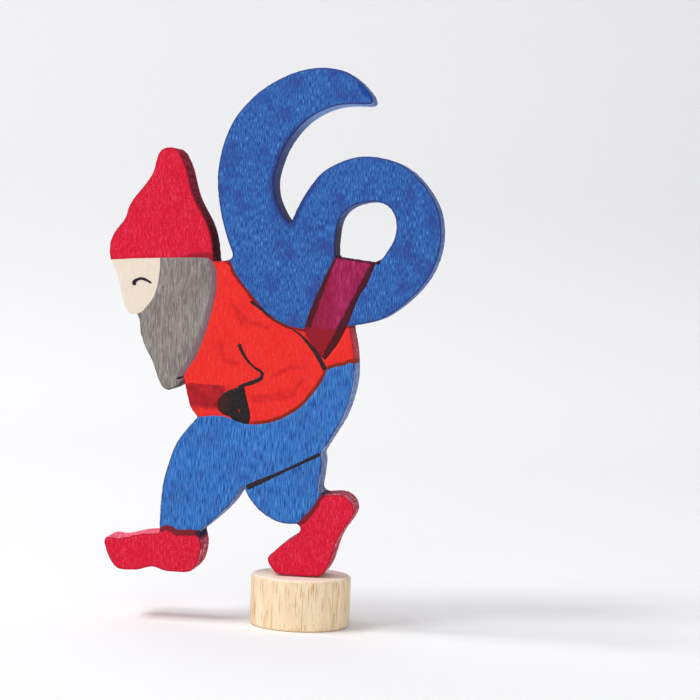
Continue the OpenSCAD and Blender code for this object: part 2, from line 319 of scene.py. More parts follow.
def edge_profile():
    """How far in from the sawn line and how deep each row of the edge lies, from the front flat's rim round
    to the back flat's rim: a quarter circle, the straight wall, and a quarter circle again."""
    quarter = np.linspace(0, math.pi / 2, QUARTER_ROWS)
    depth = HALF_BOARD - SANDED * (1 - np.cos(quarter))
    inward = SANDED * (1 - np.sin(quarter))
    wall = np.linspace(1, -1, WALL_ROWS + 2)[1:-1] * (HALF_BOARD - SANDED)
    y = np.concatenate([-depth, -wall, depth[::-1]])
    x = np.concatenate([inward, np.zeros(len(wall)), inward[::-1]])
    tilt = np.concatenate([quarter, np.full(len(wall), math.pi / 2), math.pi - quarter[::-1]])
    return x, y, tilt


def board_skin():
    """The whole surface of the board. The flats lie at the two faces, and between them the edge profile is
    carried along the sawn line. Each point has its place and its outward direction, and each triangle has
    the number of its zone."""
    inward, depth, tilt = edge_profile()
    rows = len(depth)
    flat = np.stack([plane[:, 0], np.full(len(plane), -HALF_BOARD), plane[:, 1]], axis=1)
    back = flat * [1, -1, 1]
    facing = np.tile([0.0, -1.0, 0.0], (len(plane), 1))
    places, normals = [flat, back], [facing, -facing]
    triangles = [flat_triangles, flat_triangles[:, ::-1] + len(plane)]
    numbers = [flat_zone, flat_zone]
    offset, start = 2 * len(plane), 0
    for loop, own in zip(sawn, rim_zones()):
        out = outward(loop)
        count = len(loop)
        ring = loop[None] - out[None] * inward[:, None, None]
        band = np.stack([ring[..., 0], np.broadcast_to(depth[:, None], ring.shape[:2]), ring[..., 1]], axis=2)
        lean = np.sin(tilt)[:, None]
        normal = np.stack([out[None, :, 0] * lean, np.broadcast_to(-np.cos(tilt)[:, None], ring.shape[:2]),
                           out[None, :, 1] * lean], axis=2)
        places.append(band[1:-1].reshape(-1, 3))
        normals.append(normal[1:-1].reshape(-1, 3))
        index = offset + np.arange((rows - 2) * count).reshape(rows - 2, count)
        front_rim = rim_of[start:start + count]
        index = np.concatenate([front_rim[None], index, front_rim[None] + len(plane)])
        a, b = index[:-1], index[1:]
        a_next, b_next = np.roll(a, -1, axis=1), np.roll(b, -1, axis=1)
        quads = np.stack([a, b, b_next, a_next], axis=2).reshape(-1, 4)
        triangles += [quads[:, [0, 1, 2]], quads[:, [0, 2, 3]]]
        numbers += [np.tile(own, rows - 1)] * 2
        offset += (rows - 2) * count
        start += count
    return np.concatenate(places), np.concatenate(normals), np.concatenate(triangles), np.concatenate(numbers)


skin, skin_normals, skin_triangles, skin_zone = board_skin()
skin_plane = skin[:, [0, 2]]
skin_wall = np.clip((HALF_BOARD - np.abs(skin[:, 1])) / SANDED, 0, 1)
skin_edge = np.where(skin_wall > 0, 0, distance_to_loops(skin_plane, sawn))


def mesh_object(name, places, faces, attributes=None):
    """A named object from points in millimetres and faces, shaded smooth, with one number per point for
    each attribute."""
    mesh = bpy.data.meshes.new(name)
    mesh.from_pydata((places * MM).tolist(), [], faces.tolist() if hasattr(faces, "tolist") else faces)
    mesh.shade_smooth()
    for key, values in (attributes or {}).items():
        layer = mesh.attributes.new(key, "FLOAT", "POINT")
        layer.data.foreach_set("value", np.asarray(values, np.float32))
    mesh.update()
    item = bpy.data.objects.new(name, mesh)
    bpy.context.scene.collection.objects.link(item)
    return item


def colour(red, green, blue):
    """A colour given in the usual 0 to 255 steps, as the shader's linear numbers."""
    steps = np.array([red, green, blue]) / 255
    linear = np.where(steps <= 0.04045, steps / 12.92, ((steps + 0.055) / 1.055) ** 2.4)
    return (*linear.tolist(), 1.0)


class Finish:
    """A material and the short words that its nodes are wired with. `tone` is the base colour so far."""

    def __init__(self, name):
        self.material = bpy.data.materials.new(name)
        self.material.use_nodes = True
        self.tree = self.material.node_tree
        self.tree.nodes.clear()
        self.place = self.add("ShaderNodeTexCoord").outputs["Object"]
        self.shader = self.add("ShaderNodeBsdfPrincipled")
        output = self.add("ShaderNodeOutputMaterial")
        self.tree.links.new(self.shader.outputs["BSDF"], output.inputs["Surface"])

    def add(self, kind, **settings):
        node = self.tree.nodes.new(kind)
        for key, value in settings.items():
            setattr(node, key, value)
        return node

    def put(self, socket, value):
        if isinstance(value, bpy.types.NodeSocket):
            self.tree.links.new(value, socket)
        else:
            socket.default_value = value

    def maths(self, operation, a, b=0.0, clamp=False):
        node = self.add("ShaderNodeMath", operation=operation, use_clamp=clamp)
        self.put(node.inputs[0], a)
        self.put(node.inputs[1], b)
        return node.outputs[0]

    def product(self, *values):
        """The values multiplied together, for masks that must all hold."""
        result = values[0]
        for value in values[1:]:
            result = self.maths("MULTIPLY", result, value)
        return result

    def noise(self, size, detail=2.0, roughness=0.5, seed=0.0, turn=0.0):
        """Cloudy noise whose features are `size` millimetres across, along and up, turned in the board's
        plane."""
        mapping = self.add("ShaderNodeMapping")
        self.put(mapping.inputs["Vector"], self.place)
        mapping.inputs["Rotation"].default_value = (0, math.radians(turn), 0)
        mapping.inputs["Location"].default_value = (seed, seed * 1.7, seed * 0.6)
        mapping.inputs["Scale"].default_value = tuple(1 / (s * MM) for s in size)
        node = self.add("ShaderNodeTexNoise", noise_dimensions="3D")
        self.put(node.inputs["Vector"], mapping.outputs["Vector"])
        node.inputs["Scale"].default_value = 1
        node.inputs["Detail"].default_value = detail
        node.inputs["Roughness"].default_value = roughness
        return node.outputs["Fac"]

    def stretch(self, value, low, high):
        """The value brought so that `low` is 0 and `high` is 1, held between them."""
        node = self.add("ShaderNodeMapRange", clamp=True, interpolation_type="SMOOTHSTEP")
        self.put(node.inputs["Value"], value)
        node.inputs["From Min"].default_value = low
        node.inputs["From Max"].default_value = high
        return node.outputs["Result"]

    def blend(self, amount, a, b, mode="MIX"):
        node = self.add("ShaderNodeMix", data_type="RGBA", blend_type=mode)
        self.put(node.inputs[0], amount)
        self.put(node.inputs[6], a)
        self.put(node.inputs[7], b)
        return node.outputs[2]

    def tint(self, mask, shade, amount=1.0):
        """Pulls the tone to a shade, by `amount` where the mask is 1."""
        self.tone = self.blend(mask if amount == 1 else self.product(mask, amount), self.tone, shade)

    def number(self, name):
        """The number that the mesh carries under that name."""
        return self.add("ShaderNodeAttribute", attribute_name=name, attribute_type="GEOMETRY").outputs["Fac"]

    def on_wall(self, low=0.45, high=0.9):
        """0 on the flats and 1 on the sawn edge, changing between two depths of the sanded round, where the
        round's own depth is 1."""
        return self.stretch(self.number("wall"), low, high)

    def near(self, distance, width, fuzz=0.12, wobble=0.3, size=(0.8, 0.8, 1.6), seed=3.0):
        """1 closer than `width` millimetres to a line, fading over `fuzz`, with an edge that wanders."""
        wander = self.product(self.maths("SUBTRACT", self.noise(size, seed=seed), 0.5), wobble * 2)
        reach = self.maths("SUBTRACT", self.maths("ADD", wander, width), distance)
        return self.stretch(reach, -fuzz / 2, fuzz / 2)

    def axes(self):
        """The place's x, y and z in millimetres."""
        split = self.add("ShaderNodeSeparateXYZ")
        self.put(split.inputs[0], self.place)
        return [self.product(split.outputs[i], 1 / MM) for i in range(3)]

    def blot(self, centre, radii, turn=0.0, fuzz=0.35, wobble=0.5, seed=5.0):
        """1 in an oval blot round `centre`, in the board's plane, with a ragged edge."""
        x, _, z = self.axes()
        dx, dz = self.maths("SUBTRACT", x, centre[0]), self.maths("SUBTRACT", z, centre[1])
        c, s = math.cos(math.radians(turn)), math.sin(math.radians(turn))
        u = self.maths("ADD", self.product(dx, c / radii[0]), self.product(dz, s / radii[0]))
        v = self.maths("SUBTRACT", self.product(dz, c / radii[1]), self.product(dx, s / radii[1]))
        far = self.maths("SQRT", self.maths("ADD", self.product(u, u), self.product(v, v)))
        ragged = self.product(self.maths("SUBTRACT", self.noise((1.1, 1.1, 2.2), seed=seed), 0.5), wobble)
        return self.maths("SUBTRACT", 1.0, self.stretch(self.maths("ADD", far, ragged), 1 - fuzz, 1 + fuzz))

    def bump(self, height, depth):
        """Small relief of `depth` millimetres."""
        node = self.add("ShaderNodeBump")
        node.inputs["Distance"].default_value = depth * MM
        self.put(node.inputs["Height"], height)
        self.put(self.shader.inputs["Normal"], node.outputs["Normal"])


def limewood():
    """Pale sanded limewood, its grain upright, with fine brown pores and a warmer end grain on the edge."""
    wood = Finish("limewood")
    fibres = wood.noise((0.28, 0.28, 3.2), detail=3, seed=1.3)
    bands = wood.noise((1.6, 1.6, 14), detail=2, seed=4.1)
    pores = wood.stretch(wood.noise((0.11, 0.11, 0.8), detail=1, seed=8.2), 0.66, 0.74)
    wood.tone = wood.blend(wood.stretch(fibres, 0.3, 0.7), colour(243, 230, 214), colour(236, 219, 199))
    wood.tint(wood.stretch(bands, 0.42, 0.62), colour(240, 224, 206))
    wood.tint(pores, colour(190, 160, 130), 0.25)
    wood.tint(wood.number("wall"), colour(214, 186, 156), 0.5)
    wood.put(wood.shader.inputs["Base Color"], wood.tone)
    wood.shader.inputs["Roughness"].default_value = 0.6
    wood.shader.inputs["Specular IOR Level"].default_value = 0.25
    wood.bump(fibres, 0.02)
    return wood.material


board = mesh_object("board", skin, skin_triangles, {"wall": skin_wall})
board.data.materials.append(limewood())
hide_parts("figure_board")
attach(board, "figure")

# ---- The hat -------------------------------------------------------------------------------
# Crimson water stain brushed over both faces and round the edge. The upright grain shows
# through it in pink flecks. The sawn edge drinks so much that it dries to maroon, and its
# colour also carries painted shade from the numeral beside it, deepest towards its foot.
COAT_LOW = 0.006
COAT_HIGH = 0.03
FLAT_ROUGHNESS = 0.55


def coat(name, neighbours=()):
    """One stain as a thin closed skin: the board's surface inside the stain's own outline, raised by
    COAT_HIGH, the same surface turned over at COAT_LOW, and a strip that joins them along the rim."""
    own = skin_triangles[skin_zone == STAINS.index(name)]
    used, local = np.unique(own, return_inverse=True)
    local = local.reshape(-1, 3)
    count = len(used)
    places = np.concatenate([skin[used] + skin_normals[used] * COAT_HIGH,
                             skin[used] + skin_normals[used] * COAT_LOW])
    rim = open_edges(local)
    strip = np.concatenate([np.stack([rim[:, 1], rim[:, 0], rim[:, 0] + count], axis=1),
                            np.stack([rim[:, 1], rim[:, 0] + count, rim[:, 1] + count], axis=1)])
    faces = np.concatenate([local, local[:, ::-1] + count, strip])
    numbers = {"edge": skin_edge[used], "wall": skin_wall[used]}
    for other in neighbours:
        numbers["to_" + other] = distance_to_loops(skin_plane[used], zones[other + "_stain"])
    item = mesh_object(name.replace("_stain", "_coat"), places, faces,
                       {key: np.tile(values, 2) for key, values in numbers.items()})
    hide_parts(name)
    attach(item, "figure")
    return item


def brushed(name, deep, middle, pale, wall_deep, wall_pale, line, line_width=0.16, streak=(0.16, 0.16, 1.5),
            contrast=0.17, mottle=0.35):
    """Translucent stain on upright grain. Fine streaks run from the deep tone through the middle one to the
    pale one, larger clouds pull it to the deep tone, the sawn edge has its own two tones, and a thin darker
    line of pooled stain follows the outline."""
    stain = Finish(name)
    fine = stain.noise(streak, detail=3, roughness=0.6, seed=2.2)
    cloud = stain.noise((5, 5, 9), detail=2, seed=6.4)
    stain.tone = stain.blend(stain.stretch(fine, 0.5 - contrast, 0.5), deep, middle)
    stain.tint(stain.stretch(fine, 0.5, 0.5 + contrast), pale)
    stain.tint(stain.stretch(cloud, 0.45, 0.75), deep, mottle)
    stain.tint(stain.near(stain.number("edge"), line_width, fuzz=0.14, wobble=0.14, seed=7.7), line, 0.75)
    wall_tone = stain.noise((0.5, 3.0, 0.5), detail=3, roughness=0.65, seed=9.1)
    stain.tint(stain.on_wall(), stain.blend(stain.stretch(wall_tone, 0.3, 0.74), wall_deep, wall_pale))
    stain.fine = fine
    return stain


def finish_stain(stain, item, gloss=0.1, wall_roughness=0.95):
    """Puts the stain's last tone on its shader, roughens it with the raised grain and lays it on its coat.
    The sawn edge is rougher than the sanded flats."""
    extra = stain.product(stain.number("wall"), wall_roughness - FLAT_ROUGHNESS)
    stain.put(stain.shader.inputs["Base Color"], stain.tone)
    stain.shader.inputs["Specular IOR Level"].default_value = gloss
    stain.put(stain.shader.inputs["Roughness"], stain.maths("ADD", FLAT_ROUGHNESS, extra))
    stain.bump(stain.fine, 0.02)
    item.data.materials.append(stain.material)


def crimson(name, wall_deep, wall_pale):
    """The gnome's red, with pale specks where the grain's tips took no stain."""
    stain = brushed(name, colour(203, 14, 42), colour(221, 24, 55), colour(238, 66, 96), wall_deep, wall_pale,
                    colour(165, 20, 48), streak=(0.16, 0.16, 0.9), contrast=0.24, mottle=0.22)
    specks = stain.stretch(stain.noise((0.12, 0.12, 0.16), detail=0, seed=11.3), 0.75, 0.79)
    stain.tint(specks, colour(240, 130, 150), 0.4)
    return stain


hat = coat("hat_stain")
# The sawn edge's two tones are the stain soaked into the end grain together with painted shade from the
# numeral beside it.
stain = crimson("hat_crimson", colour(122, 12, 34), colour(196, 56, 84))
smudge = stain.blot((-19.6, 65.6), (3.2, 0.9), turn=4, wobble=0.9)
stain.tint(smudge, colour(110, 20, 40), 0.6)
x, _, z = stain.axes()
# Painted shade: the sawn edge darkens towards its foot beside the numeral's stem, on top of the deeper soak
# of the stain there.
wall_tone = stain.product(stain.stretch(z, 79, 67), stain.on_wall())
stain.tint(wall_tone, colour(46, 8, 14), 0.75)
bare = stain.stretch(stain.noise((0.35, 0.35, 0.35), detail=1, seed=2.9), 0.66, 0.7)
bare = stain.product(bare, stain.stretch(z, 69, 66), stain.number("wall"), stain.stretch(x, -23, -21))
stain.tint(bare, colour(232, 214, 206))
finish_stain(stain, hat)

# ---- The beard -----------------------------------------------------------------------------
# Thin grey stain over the grain, with paler wavy strands. The jacket's red was brushed a
# little way over its right-hand side, which dried violet.
beard = coat("beard_stain", neighbours=("jacket",))
stain = brushed("beard_grey", colour(104, 98, 95), colour(137, 129, 125), colour(178, 168, 157),
                colour(96, 88, 84), colour(140, 130, 122), colour(95, 86, 82), streak=(0.16, 0.16, 1.5),
                contrast=0.2, mottle=0.3)
strands = stain.stretch(stain.noise((0.7, 0.7, 6), detail=2, seed=12.4), 0.52, 0.66)
stain.tint(strands, colour(166, 158, 148), 0.45)
overlap = stain.near(stain.number("to_jacket"), 1.05, fuzz=0.3, wobble=0.22, size=(1.5, 1.5, 4))
stain.tint(overlap, colour(128, 92, 108), 0.7)
tip = stain.blot((-22.7, 43.9), (0.7, 0.22), turn=15, fuzz=0.2)
stain.tint(tip, colour(38, 30, 34))
finish_stain(stain, beard)

# ---- The jacket ----------------------------------------------------------------------------
# Scarlet stain with faint darker brush strokes for the folds of the sleeve. It was brushed
# over the blue at the hem, which dried rust brown, and over itself at the front.
FOLDS = [((-10.1, 41), (-6.2, 41.4), (-2.0, 42.6), (-0.5, 44.6)), ((-9.7, 40.3), (-5.6, 40.8), (-2, 41.7)),
         ((-5.7, 45), (-3.0, 46.6), (-0.4, 46.8)), ((-15.6, 50.3), (-15.0, 47.6), (-12.5, 46.8)),
         ((-13.7, 57.4), (-11.0, 54.5), (-7.3, 53.7)), ((-12.9, 56.2), (-11.7, 53.9))]
jacket = coat("jacket_stain", neighbours=("trousers", "number"))
fold_starts = np.array([point for fold in FOLDS for point in fold[:-1]])
fold_ends = np.array([point for fold in FOLDS for point in fold[1:]])
corners = np.empty(len(jacket.data.vertices) * 3)
jacket.data.vertices.foreach_get("co", corners)
layer = jacket.data.attributes.new("fold", "FLOAT", "POINT")
layer.data.foreach_set("value", distance_to(corners.reshape(-1, 3)[:, [0, 2]] / MM, fold_starts, fold_ends))
stain = brushed("jacket_scarlet", colour(226, 34, 34), colour(240, 47, 42), colour(249, 72, 58),
                colour(176, 52, 62), colour(214, 104, 112), colour(186, 32, 36), streak=(0.16, 0.16, 0.8),
                contrast=0.28, mottle=0.25)
ragged = stain.product(stain.noise((1.0, 1.0, 1.0), detail=3, roughness=0.7, seed=3.3), 0.9)
fold = stain.stretch(stain.maths("ADD", stain.number("fold"), ragged), 1.2, 0.3)
stain.tint(fold, colour(186, 24, 34), 0.5)
x, _, z = stain.axes()
ragged = stain.product(stain.noise((1.0, 1.0, 1.0), seed=1.1), 0.9)
low = stain.stretch(stain.maths("ADD", z, ragged), 43.5, 43.3)
front = stain.stretch(stain.maths("ADD", x, ragged), -14.0, -14.2)
above = stain.stretch(stain.maths("ADD", z, ragged), 38.5, 39.6)
patch = stain.product(low, front, above)
uneven = stain.stretch(stain.noise((1.4, 1.4, 1.2), detail=4, roughness=0.7, seed=14.2), 0.35, 0.65)
deep = stain.blend(uneven, colour(186, 34, 42), colour(142, 22, 36))
stain.tint(patch, deep, 0.88)
hem = stain.near(stain.number("to_trousers"), 0.62, fuzz=0.16, wobble=0.22)
right = stain.stretch(x, -12, -8)
stain.tint(stain.product(hem, right), colour(148, 44, 24))
seam = stain.near(stain.number("to_number"), 0.52, fuzz=0.16, wobble=0.3)
stain.tint(seam, colour(116, 32, 22), 0.85)
smear = stain.blot((5.6, 47.0), (1.9, 0.55), turn=8, fuzz=0.25)
stain.tint(smear, colour(136, 52, 30), 0.85)
finish_stain(stain, jacket, wall_roughness=0.8)

# ---- The mitten ----------------------------------------------------------------------------
# Two coats of near-black, brushed into an oval at the end of the sleeve on each face. Its
# thin left-hand end lets the red through as dark brown.
mitten = coat("mitten_stain")
stain = brushed("mitten_black", colour(22, 19, 20), colour(38, 34, 34), colour(78, 68, 66),
                colour(34, 28, 26), colour(42, 36, 34), colour(30, 22, 22), streak=(0.15, 0.15, 0.5),
                contrast=0.3)
thin = stain.blot((-15.4, 39.3), (1.5, 2.2), fuzz=0.4)
stain.tint(thin, colour(74, 34, 30), 0.7)
speck = stain.blot((-11.8, 38.5), (0.12, 0.3), fuzz=0.4, wobble=1.0)
stain.tint(speck, colour(170, 40, 40))
finish_stain(stain, mitten)


# ---- The trousers --------------------------------------------------------------------------
# Blue stain, the most uneven of all: dark and pale fibres side by side, indigo where it
# pooled, and a dark line along the outline. A pale sheen is painted along its sawn edge.
def blue(name, middle, wall_deep, wall_pale, grain, contrast, mottle):
    """The gnome's blue with streaks `grain` millimetres long. Indigo clouds on the flats take the place of
    the usual ones, and a few pale scratches run aslant of the grain."""
    stain = brushed(name, colour(16, 48, 124), middle, colour(82, 148, 214), wall_deep, wall_pale,
                    colour(52, 48, 110), line_width=0.2, streak=(0.14, 0.14, grain), contrast=contrast,
                    mottle=0.0)
    cloud = stain.stretch(stain.noise((4, 4, 5), detail=5, roughness=0.65, seed=6.4), 0.46, 0.66)
    flat = stain.maths("SUBTRACT", 1.0, stain.number("wall"), clamp=True)
    stain.tint(stain.product(cloud, flat), colour(46, 66, 146), mottle)
    scratch = stain.stretch(stain.noise((0.22, 0.22, 2.6), detail=1, seed=13.7, turn=10), 0.67, 0.72)
    stain.tint(scratch, colour(104, 156, 214), 0.3)
    return stain


trousers = coat("trousers_stain")
stain = blue("trousers_blue", colour(50, 116, 196), colour(78, 100, 160), colour(150, 170, 214), grain=2.0,
             contrast=0.15, mottle=0.3)
# A painted pale sheen along the sanded round where the flat turns into the sawn edge.
edge_sheen = stain.stretch(stain.noise((1, 1, 3), seed=5.5), 0.4, 0.6)
edge_sheen = stain.product(stain.on_wall(0.1, 0.35), stain.on_wall(0.85, 0.5), edge_sheen)
stain.tint(edge_sheen, colour(190, 208, 238), 0.7)
finish_stain(stain, trousers, gloss=0.16, wall_roughness=0.68)


# ---- The shoes -----------------------------------------------------------------------------
# The hat's crimson again. The trousers' blue runs over the top of each shoe as a brown band.
def shoe(name, band, heel, heel_radii):
    """A shoe with a brown band of the given width and a dark run of blue in an oval at its heel."""
    item = coat(name, neighbours=("trousers",))
    stain = crimson(name.replace("_stain", "_crimson"), colour(166, 30, 54), colour(226, 104, 122))
    cuff = stain.near(stain.number("to_trousers"), band, fuzz=0.16, wobble=0.5)
    stain.tint(cuff, colour(104, 34, 38), 0.9)
    # A painted pale sheen along the sanded round of the sawn edge.
    edge_sheen = stain.stretch(stain.noise((1, 1, 1), detail=3, seed=5.5), 0.42, 0.6)
    edge_sheen = stain.product(stain.on_wall(0.2, 0.5), stain.on_wall(0.98, 0.7), edge_sheen)
    stain.tint(edge_sheen, colour(244, 150, 168), 0.6)
    x, _, z = stain.axes()
    # Only the front shoe reaches to the lilac smear and to the painted highlight on its top edge.
    # Painted highlight: the upward-facing top of the sawn edge is made paler, where the lamps catch it.
    top = stain.product(stain.stretch(x, -20.5, -22), stain.stretch(z, 13, 14.5), stain.on_wall(0.6, 0.95))
    stain.tint(top, colour(246, 92, 118), 0.75)
    lilac = stain.product(stain.blot((-27.2, 17.3), (1.5, 1.2)), stain.number("wall"))
    stain.tint(lilac, colour(150, 116, 178), 0.75)
    scratch = stain.stretch(stain.noise((0.35, 1.4, 0.7), detail=3, seed=15.8), 0.57, 0.64)
    scratch = stain.product(scratch, stain.on_wall(0.3, 0.8))
    stain.tint(scratch, colour(240, 190, 196), 0.75)
    drip = stain.blot(heel, heel_radii, wobble=1.3)
    stain.tint(drip, colour(34, 32, 66), 0.85)
    finish_stain(stain, item)


shoe("front_shoe_stain", 1.05, heel=(-17.5, 16.2), heel_radii=(1.3, 1.4))
shoe("rear_shoe_stain", 0.85, heel=(4.0, 24.9), heel_radii=(0.9, 0.7))

# ---- The numeral ---------------------------------------------------------------------------
# The big six on the gnome's back, in the trousers' blue, darkest along the inside of its stem.
numeral = coat("number_stain")
stain = blue("number_blue", colour(44, 95, 173), colour(48, 76, 148), colour(104, 142, 210), grain=1.1,
             contrast=0.18, mottle=0.75)
x, _, z = stain.axes()
wall_tone = stain.product(stain.stretch(z, 86, 76), stain.stretch(x, 4.5, 3.5), stain.on_wall())
stain.tint(wall_tone, colour(16, 34, 84), 0.75)
# Painted light: the top of the inner arch's sawn edge is made paler, as if lit by light bounced up from
# below.
arch = stain.blot((5.5, 81), (12, 14), fuzz=0.12, wobble=0.15)
painted_bounce_light = stain.product(stain.stretch(z, 84, 89), stain.on_wall(), arch)
stain.tint(painted_bounce_light, colour(136, 176, 230), 0.7)
pooled = stain.blot((8.6, 96.0), (1.9, 0.45), turn=-48, fuzz=0.3)
stain.tint(pooled, colour(8, 62, 150), 0.8)
corner = stain.product(stain.blot((4.6, 68.4), (1.6, 4.4)), stain.number("wall"))
stain.tint(corner, colour(26, 26, 44), 0.9)
drip = stain.blot((12.1, 66.0), (0.55, 0.4), turn=-30, fuzz=0.25)
stain.tint(drip, colour(44, 24, 40))
beside_edge = stain.near(stain.number("edge"), 0.8, fuzz=0.7, wobble=0.5, size=(2, 2, 3))
inner = stain.product(beside_edge, stain.blot((-3.4, 80), (4.5, 10), fuzz=0.3))
stain.tint(inner, colour(38, 46, 116), 0.7)
finish_stain(stain, numeral, gloss=0.16, wall_roughness=0.68)

# ---- The strap -----------------------------------------------------------------------------
# Crimson brushed over blue, which dries plum, between two dark brown borders, and a deeper
# red where it crosses the jacket.
strap = coat("strap_stain")
stain = brushed("strap_plum", colour(138, 24, 62), colour(160, 32, 80), colour(192, 60, 118),
                colour(60, 20, 34), colour(90, 30, 50), colour(60, 22, 30), streak=(0.2, 0.2, 1.6),
                contrast=0.22)
x, _, z = stain.axes()
ragged = stain.product(stain.noise((0.5, 0.5, 0.9), detail=3, roughness=0.6, seed=4.0), 0.9)
warm = stain.stretch(x, 6, 2)
stain.tint(warm, colour(140, 26, 46), 0.55)
over_jacket = stain.stretch(stain.maths("ADD", z, ragged), 54.6, 54.0)
stain.tint(over_jacket, colour(150, 26, 42))
STRAP_SIDES = [((4.3, 66.6), (-0.6, 53.6), 0.4, 0.9, 1), ((11.6, 65.8), (3.3, 48.2), 0.65, 0.75, -1)]
for top, foot, top_width, foot_width, inward in STRAP_SIDES:
    # Distance in from the strap's straight side, less a border width that grows towards its foot.
    run = (Vector(foot) - Vector(top)).normalized()
    across = stain.maths("ADD", stain.product(x, -run[1] * inward), stain.product(z, run[0] * inward))
    depth = stain.maths("SUBTRACT", across, (-run[1] * top[0] + run[0] * top[1]) * inward)
    growth = (foot_width - top_width) / (foot[1] - top[1])
    width = stain.maths("ADD", stain.product(z, growth), top_width - growth * top[1])
    border = stain.stretch(stain.maths("SUBTRACT", stain.maths("ADD", width, ragged), depth), 0.36, 0.54)
    if inward == 1:
        border = stain.product(border, stain.stretch(z, 53.2, 54.4))
    stain.tint(border, colour(66, 26, 30), 0.9)
finish_stain(stain, strap)


# ---- The pen lines -------------------------------------------------------------------------
# Brown-black drawing ink, drawn with a brush pen on top of the stain on both faces: the
# closed eye, the bend of the sleeve, the strap's line over the back, and the rear leg.
INK_LOW = COAT_HIGH
INK_CROWN = 0.035
INK_SUNK = 0.01
INK_STEP = 0.25
INK_COLUMNS = 7


def middle_line(node):
    """The middle of a CAD ribbon. Its outline is paired with itself backwards from whichever point makes
    the pairs closest, and the middle runs through the halves of those pairs."""
    loop = front_loops(node)[0]
    half = len(loop) // 2
    turns = [np.roll(loop, -k, axis=0) for k in range(len(loop))]
    widths = [lengths(turn - turn[::-1])[:half].mean() for turn in turns]
    best = turns[int(np.argmin(widths))]
    return ((best + best[::-1]) / 2)[:half]


def along(points, step):
    """The open line again, at even steps."""
    travelled = np.concatenate([[0], np.cumsum(lengths(np.diff(points, axis=0)))])
    places = np.linspace(0, travelled[-1], max(4, int(travelled[-1] / step)))
    return np.stack([np.interp(places, travelled, points[:, i]) for i in (0, 1)], axis=1)


def ink():
    """Dried ink, brown where it lies thin."""
    line = Finish("ink")
    cloud = line.noise((0.4, 0.4, 1.2), detail=2, seed=2.0)
    line.put(line.shader.inputs["Base Color"], line.blend(cloud, colour(24, 18, 20), colour(52, 36, 38)))
    line.shader.inputs["Roughness"].default_value = 0.5
    line.shader.inputs["Specular IOR Level"].default_value = 0.2
    line.bump(cloud, 0.01)
    return line.material


ink_material = ink()


def pen_line(node, widths):
    """A stroke on each face: a lens-shaped profile carried along the ribbon's middle. From its lower end its
    width goes through the given values at even stretches. It trembles a little and has round ends."""
    path = along(middle_line(node), INK_STEP)
    if path[0, 1] > path[-1, 1]:
        path = path[::-1]
    count = len(path)
    t = np.linspace(0, 1, count)
    heading = np.gradient(path, axis=0)
    side = np.stack([heading[:, 1], -heading[:, 0]], axis=1) / lengths(heading)[:, None]
    width = np.interp(t, np.linspace(0, 1, len(widths)), widths)
    total = lengths(np.diff(path, axis=0)).sum()
    from_end = np.minimum(t, 1 - t) * total
    round_end = np.sqrt(np.clip(1 - (1 - np.clip(from_end / (width / 2), 0, 1)) ** 2, 0.02, 1))
    point = np.arange(count)
    width = width * round_end * (1 + 0.08 * np.sin(point * 1.9) + 0.06 * np.sin(point * 0.8))
    across = np.linspace(-1, 1, INK_COLUMNS)
    places, faces = [], []
    for face in (-1, 1):
        spread = path[:, None, :] + side[:, None, :] * across[None, :, None] * width[:, None, None] / 2
        crown = INK_LOW + INK_CROWN * (1 - across[None, :] ** 2) * round_end[:, None]
        top = np.stack([spread[..., 0], face * (HALF_BOARD + crown), spread[..., 1]], axis=2)
        base = top.copy()
        base[..., 1] = face * (HALF_BOARD + INK_LOW - INK_SUNK)
        ring = np.concatenate([top, base[:, ::-1]], axis=1)
        rows = ring.shape[1]
        offset = sum(len(p) for p in places)
        index = offset + np.arange(count * rows).reshape(count, rows)
        a, b = index[:-1], index[1:]
        quads = np.stack([a, np.roll(a, -1, axis=1), np.roll(b, -1, axis=1), b], axis=2).reshape(-1, 4)
        ends = [index[0][::-1].tolist(), index[-1].tolist()]
        group = quads.tolist() + ends
        if face == 1:
            group = [quad[::-1] for quad in group]
        places.append(ring.reshape(-1, 3))
        faces += group
    item = mesh_object(node.replace("_ink", "_line"), np.concatenate(places), faces)
    item.data.materials.append(ink_material)
    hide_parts(node)
    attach(item, "figure")


pen_line("eye_ink", [0.85, 0.62, 0.5, 0.45, 0.4])
pen_line("sleeve_ink", [0.3, 0.75, 0.78, 0.8, 0.55, 0.45, 0.42, 0.55, 0.62, 0.75])
pen_line("back_seam_ink", [0.85, 0.8, 0.62, 0.36, 0.12, 0.12, 0.5, 0.62])
pen_line("leg_seam_ink", [1.0, 0.9, 0.62, 0.55, 0.6, 0.75])


# ---- The plug ------------------------------------------------------------------------------
# A short turned plug of natural beech that fits the holes of a birthday ring, with a blind
# hole for the pin. The grain runs up it, so its sides show beech's short brown flecks.
def turned(name, profile, segments):
    """A profile of (radius, height) points carried once round the Z axis, its two ends closed on the axis."""
    profile = np.array(profile)
    angle = np.linspace(0, 2 * math.pi, segments, endpoint=False)
    ring = profile[1:-1]
    places = np.stack([ring[:, None, 0] * np.cos(angle), ring[:, None, 0] * np.sin(angle),
                       np.broadcast_to(ring[:, None, 1], (len(ring), segments))], axis=2).reshape(-1, 3)
    index = np.arange(len(ring) * segments).reshape(len(ring), segments)
    a, b = index[:-1], index[1:]
    quads = np.stack([a, np.roll(a, -1, axis=1), np.roll(b, -1, axis=1), b], axis=2).reshape(-1, 4).tolist()
    low, high = len(places), len(places) + 1
    places = np.concatenate([places, [[0, 0, profile[0, 1]], [0, 0, profile[-1, 1]]]])
    first, last = index[0], index[-1]
    fan = [[low, int(b), int(a)] for a, b in zip(first, np.roll(first, -1))]
    fan += [[high, int(a), int(b)] for a, b in zip(last, np.roll(last, -1))]
    return mesh_object(name, places, quads + fan)


